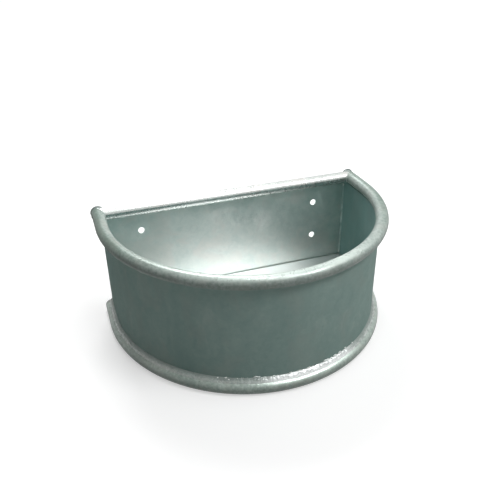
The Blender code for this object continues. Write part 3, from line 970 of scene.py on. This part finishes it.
# The part of the rail's round that a joint bead follows, in degrees
JOINT_START = 50
JOINT_TURN = 165


def tube_fillet(way, overhang, leg, height, bulge):
    """A fillet between the wall and a tube beside it: below the tube with way -1, above it with 1."""
    reach = math.sqrt(TUBE_RADIUS**2 - (leg - overhang) ** 2)
    start = math.sqrt(TUBE_RADIUS**2 - overhang**2)
    base = [(-GAP, way * (start + height)), (-GAP, way * (start - 2 * GAP)), (leg, way * (reach - 2 * GAP))]
    return fillet_section((leg, way * reach), (0.0, way * (start + height)), base, bulge)


def make_rim_bead():
    """The bead in the corner under the rim tube, outside the wall."""
    section = tube_fillet(-1, RIM_OVERHANG, leg=0.0038, height=0.0038, bulge=0.0004)
    path = bowl_path(SHEET, RIM_AXIS_Z, PLATE_FRONT_Y)
    weld("rim_bead", ["rim_weld"], [path], section, bead_zinc, 3, lump=0.0003)


def make_foot_bead():
    """The rough bead on top of the foot tube, outside the wall."""
    section = tube_fillet(1, FOOT_OVERHANG, leg=0.0068, height=0.0064, bulge=0.0009)
    path = bowl_path(SHEET, FOOT_AXIS_Z, PLATE_FRONT_Y)
    weld("foot_bead", ["foot_weld"], [path], section, foot_bead_zinc, 5, pitch=0.0042, ripple=0.0003,
         lump_size=0.0060, lump=0.0017)


def make_foot_splashes():
    """Thick drops of weld thrown up on the wall and the bead where the arc ran rough, near-white with painted
    glints.
    """
    runs = []
    for share, height, length, thickness in SPLASHES:
        out = SHEET + max(0.0, BEAD_TOP_Z - height) + SPLASH_LIFT * thickness
        path = bowl_path(out, 0.0, PLATE_FRONT_Y)
        middle = round(share * len(path))
        half = max(1, round(length / SPLASH_PITCH))
        run = path[middle - half : middle + half + 1]
        runs.append([(x, y, height + SPLASH_WAVER * math.sin(SPLASH_WAVES * x)) for x, y, _ in run])
    weld("foot_splashes", [], runs, round_section(0.0013, 12), splash_zinc, 9, step=0.0004, pitch=0.0030,
         ripple=0.0004, bow=0.0, lump_size=0.0028, lump=0.0009, taper=0.0030)


def make_foot_spatter():
    """Fine spatter along the ragged upper edge of the foot bead, near-white with painted glints."""
    path = bowl_path(SHEET + SPATTER_LIFT, 0.0, PLATE_FRONT_Y)
    first, last = (round(share * len(path)) for share in SPATTER_SPAN)
    edge = [(x, y) for x, y, _ in path[first:last]]
    points = [(x, y, z) for z in SPATTER_HEIGHTS for x, y in edge]
    count = len(edge)
    faces = [(k, k + 1, count + k + 1, count + k) for k in range(count - 1)]
    mesh = bpy.data.meshes.new("foot_spatter")
    mesh.from_pydata(points, [], faces)
    strip = placed("foot_spatter", mesh)
    run_tree(strip, DROPLETS, metal=splash_zinc, **SPATTER_DROPS)
    dress(bake(strip, "foot_spatter", sharp=False), "weld_bead")


def make_rim_end_lumps():
    """Weld lumps on the outer side of the rim tube's ends, near-black with painted shade."""
    depths = np.linspace(RIM_LUMP_START_Y, TUBE_END_Y, 30).tolist()
    runs = [[(side * RIM_LUMP_X, y, RIM_LUMP_Z) for y in depths] for side in (-1, 1)]
    weld("rim_end_lumps", [], runs, round_section(0.0031, 18), drip_zinc, 14, step=0.0005, pitch=0.008,
         ripple=0.0002, bow=0.0, lump_size=0.005, lump=0.0006)


def make_seam_ends():
    """Small lumps where the upright seams begin and end, near-white with painted glints."""
    runs = []
    for side in (-1, 1):
        for middle in SEAM_END_MIDDLES:
            x, y = side * (HALF_WIDTH - SEAM_END_INSET), PLATE_FRONT_Y - SEAM_END_INSET
            runs.append([(x, y, middle + lift) for lift in SEAM_END_LIFTS])
    weld("seam_ends", [], runs, round_section(0.0018, 14), splash_zinc, 17, step=0.0003, pitch=0.002,
         ripple=0.0003, bow=0.0, lump_size=0.003, lump=0.0010, taper=0.0026)


def make_floor_beads():
    """The beads under the floor plate, along the wall and along the back plate."""
    leg = 0.0034
    base = [(GAP, -leg), (GAP, GAP), (-leg, GAP)]
    section = fillet_section((-leg, 0.0), (0.0, -leg), base, bulge=0.0004)
    path = bowl_path(0.0, FLOOR_BOTTOM_Z, PLATE_FRONT_Y)
    weld("under_floor_bead", ["floor_wall_weld"], [path], section, bead_zinc, 11, step=0.0008)
    base = [(leg, GAP), (-GAP, GAP), (-GAP, -leg)]
    section = fillet_section((0.0, -leg), (leg, 0.0), base, bulge=0.0004)
    path = straight_path(HALF_WIDTH - leg, PLATE_FRONT_Y, FLOOR_BOTTOM_Z, 200)
    weld("under_back_bead", ["floor_plate_weld"], [path], section, bead_zinc, 12, step=0.0008)


def make_corner_bead(side, name, node):
    """The upright seam in the corner of back plate and wall, thin and uneven."""
    leg = 0.0020
    low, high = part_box(node)[0].z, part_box(node)[1].z
    base = [(-leg, -GAP), (GAP, -GAP), (GAP, leg)]
    points, lanes = fillet_section((0.0, leg), (-leg, 0.0), base, bulge=0.0003)
    if side < 0:
        points = [(-out, up) for out, up in points]
    path = [(side * HALF_WIDTH, PLATE_FRONT_Y, z) for z in np.linspace(low, high, 120).tolist()]
    weld(name, [node], [path], (points, lanes), seam_zinc, 20 + side, pitch=0.0030, ripple=0.0004,
         lump_size=0.012, lump=0.0016, taper=0.002)


def make_rail_bead():
    """The bead in the groove between back plate and rail, nearly flush behind, near-white with a painted
    highlight.
    """
    groove = PLATE_TOP_Z - RIM_AXIS_Z
    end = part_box("rail_weld")[1].x
    meet_y = -math.sqrt(TUBE_RADIUS**2 - groove**2)
    toe, top = (-TUBE_RADIUS + GAP, -0.0012), (-TUBE_RADIUS + GAP, groove)
    base = [(meet_y, groove - GAP), (meet_y, groove + 3 * GAP), (-0.0100, -0.0030)]
    section = fillet_section(toe, top, base, bulge=0.0001)
    path = straight_path(end, RAIL_AXIS_Y, RIM_AXIS_Z, 300)
    weld("rail_bead", ["rail_weld"], [path], section, splash_zinc, 31, step=0.0008, ripple=0.00012,
         lump=0.0001, taper=0.0005)


def make_joint_bead(side, name, node):
    """The bead round the coped joint of rail and rim."""
    path = []
    for step in range(JOINT_STEPS + 1):
        turn = math.radians(JOINT_START + JOINT_TURN * step / JOINT_STEPS)
        back = TUBE_RADIUS * math.cos(turn)
        x = side * (RIM_SIDE_X - abs(back))
        path.append((x, RAIL_AXIS_Y + back, RIM_AXIS_Z + TUBE_RADIUS * math.sin(turn)))
    weld(name, [node], [path], round_section(0.0015, 14), bead_zinc, 40 + side, step=0.0004, pitch=0.0022,
         ripple=0.0002, bow=0.0, lump_size=0.003, lump=0.0002, taper=0.002)


make_wall()
make_floor()
make_back()
make_tube("rim_pipe", "rim_tube", RIM_OFFSET, RIM_AXIS_Z, tube_zinc)
make_tube("foot_pipe", "foot_tube", FOOT_OFFSET, FOOT_AXIS_Z, foot_zinc)
make_rail()
for side, side_name in ((-1, "left"), (1, "right")):
    make_plug(side, "rim_plug_" + side_name, "rim_end_cap_" + side_name, RIM_OFFSET, RIM_AXIS_Z, CAP_RADIUS)
    make_plug(side, "foot_plug_" + side_name, "foot_end_cap_" + side_name, FOOT_OFFSET, FOOT_AXIS_Z,
              TUBE_RADIUS)
    make_corner_bead(side, "corner_bead_" + side_name, "corner_weld_" + side_name)
    make_joint_bead(side, "joint_bead_" + side_name, "rail_joint_weld_" + side_name)
make_rim_bead()
make_foot_bead()
make_floor_beads()
make_rail_bead()
make_foot_splashes()
make_foot_spatter()
make_rim_end_lumps()
make_seam_ends()


# Stage, light and camera

STAGE_HALF_WIDTH = 6.0
STAGE_GREY = (0.62, 0.62, 0.62, 1.0)
# White that rays see of the floor: under the trough, how much more far away, and where it rises
STAGE_GLOW = 0.5
STAGE_GLOW_RISE = 0.45
STAGE_GLOW_RUN = (0.6, 2.4)
# What the world gives to the light, and the white that rays see of it besides
WORLD_LIGHT = 0.12
WORLD_GLOW = 0.88

# Name, azimuth and elevation in degrees, distance, width and watts of each soft lamp
SOFT_LAMPS = (
    ("key", 48.0, 50.0, 2.4, 0.7, 18.0),
    ("front", 18.0, 52.0, 2.4, 0.9, 7.0),
    ("right", 90.0, 40.0, 2.4, 1.6, 3.8),
    ("back_right", 130.0, 60.0, 2.4, 1.6, 3.0),
    ("back", 180.0, 52.0, 2.4, 0.9, 34.0),
    ("top", 40.0, 82.0, 2.4, 0.7, 13.0),
)
SOFT_LAMP_TARGET = (0.0, 0.0, 0.1)

# The lamp that makes the pale pool on plate and floor
POOL_AIM = (22.0, 56.0, 1.5)
POOL_TARGET = (-0.025, 0.145, 0.036)
POOL_CONE = math.radians(10.0)
POOL_WATTS = 103.0
POOL_COLOUR = (1.0, 0.925, 0.95)
POOL_LAMP_RADIUS = 0.12

CAMERA_PLACE = (-0.29648, -0.80905, 0.65600)
CAMERA_YAW = math.radians(-18.966)
CAMERA_PITCH = math.radians(29.435)
CAMERA_ROLL = math.radians(0.786)
CAMERA_LENS = 42.23
CAMERA_SENSOR = 36.0


def backdrop_white(bench, shaded, strength):
    """Adds plain white to what camera, glossy and transmission rays see of a surface or the world."""
    rays = bench.node("ShaderNodeLightPath", output="Is Camera Ray")
    seen = rays.most(rays.output("Is Glossy Ray")).most(rays.output("Is Transmission Ray"))
    glow = bench.node("ShaderNodeEmission", {}, {"Color": WHITE, "Strength": strength})
    dark = bench.node("ShaderNodeEmission", {}, {"Color": BLACK})
    extra = bench.node("ShaderNodeMixShader", {}, {0: seen, 1: dark, 2: glow})
    return bench.node("ShaderNodeAddShader", {}, {0: shaded, 1: extra})


def make_stage():
    """A plain pale floor, wide enough for every side view."""
    half = STAGE_HALF_WIDTH
    mesh = bpy.data.meshes.new("studio_floor")
    corners = [(-half, -half, 0), (half, -half, 0), (half, half, 0), (-half, half, 0)]
    mesh.from_pydata(corners, [], [(0, 1, 2, 3)])
    material = bpy.data.materials.new("studio_floor")
    material.use_nodes = True
    bench = Bench(material.node_tree)
    shader = material.node_tree.nodes["Principled BSDF"]
    bench.feed(shader, {"Base Color": STAGE_GREY, "Roughness": 1.0, "Specular IOR Level": 0.0})
    place = bench.node("ShaderNodeTexCoord").output("Object")
    away = bench.vector("LENGTH", place, output="Value")
    glow = STAGE_GLOW + STAGE_GLOW_RISE * away.ease(*STAGE_GLOW_RUN)
    white = backdrop_white(bench, Reading(bench, shader.outputs["BSDF"]), glow)
    bench.feed(material.node_tree.nodes["Material Output"], {"Surface": white})
    mesh.materials.append(material)
    floor = placed("studio_floor", mesh)


def make_world():
    """A pale world that gives a little light and shows white behind everything."""
    world = bpy.data.worlds.new("studio")
    world.use_nodes = True
    bench = Bench(world.node_tree)
    sky = world.node_tree.nodes["Background"]
    bench.feed(sky, {"Color": WHITE, "Strength": WORLD_LIGHT})
    white = backdrop_white(bench, Reading(bench, sky.outputs["Background"]), WORLD_GLOW)
    bench.feed(world.node_tree.nodes["World Output"], {"Surface": white})
    bpy.context.scene.world = world


def aim(name, data, target, azimuth, elevation, distance):
    """Places a lamp round its target and turns it there. Azimuth runs from the front to the right."""
    around, up = math.radians(azimuth), math.radians(elevation)
    direction = Vector((math.sin(around) * math.cos(up), -math.cos(around) * math.cos(up), math.sin(up)))
    lamp = placed(name, data)
    lamp.location = Vector(target) + distance * direction
    lamp.rotation_euler = direction.to_track_quat("Z", "Y").to_euler()
    lamp.visible_camera = False


def make_soft_lamp(name, azimuth, elevation, distance, width, watts):
    """A square soft lamp, turned to the trough."""
    data = bpy.data.lights.new(name, "AREA")
    data.shape = "SQUARE"
    data.size = width
    data.energy = watts
    aim(name, data, SOFT_LAMP_TARGET, azimuth, elevation, distance)


def make_pool_lamp():
    """A soft-edged spot that only lights the bowl."""
    data = bpy.data.lights.new("bowl", "SPOT")
    data.spot_size = POOL_CONE
    data.spot_blend = 1.0
    data.shadow_soft_size = POOL_LAMP_RADIUS
    data.energy = POOL_WATTS
    data.color = POOL_COLOUR
    aim("bowl", data, POOL_TARGET, *POOL_AIM)


def make_camera():
    """A camera at the photograph's viewing angle."""
    yaw, pitch, roll = CAMERA_YAW, CAMERA_PITCH, CAMERA_ROLL
    forward = Vector((-math.sin(yaw) * math.cos(pitch), math.cos(yaw) * math.cos(pitch), -math.sin(pitch)))
    level = Vector((math.cos(yaw), math.sin(yaw), 0.0))
    down = forward.cross(level)
    right = level * math.cos(roll) + down * math.sin(roll)
    up = level * math.sin(roll) - down * math.cos(roll)
    data = bpy.data.cameras.new("camera")
    data.lens = CAMERA_LENS
    data.sensor_width = CAMERA_SENSOR
    camera = placed("camera", data)
    turn = Matrix((right, up, -forward)).transposed().to_4x4()
    camera.matrix_world = Matrix.Translation(CAMERA_PLACE) @ turn
    bpy.context.scene.camera = camera


make_stage()
make_world()
for lamp in SOFT_LAMPS:
    make_soft_lamp(*lamp)
make_pool_lamp()
make_camera()
bpy.context.scene.view_settings.view_transform = "Standard"
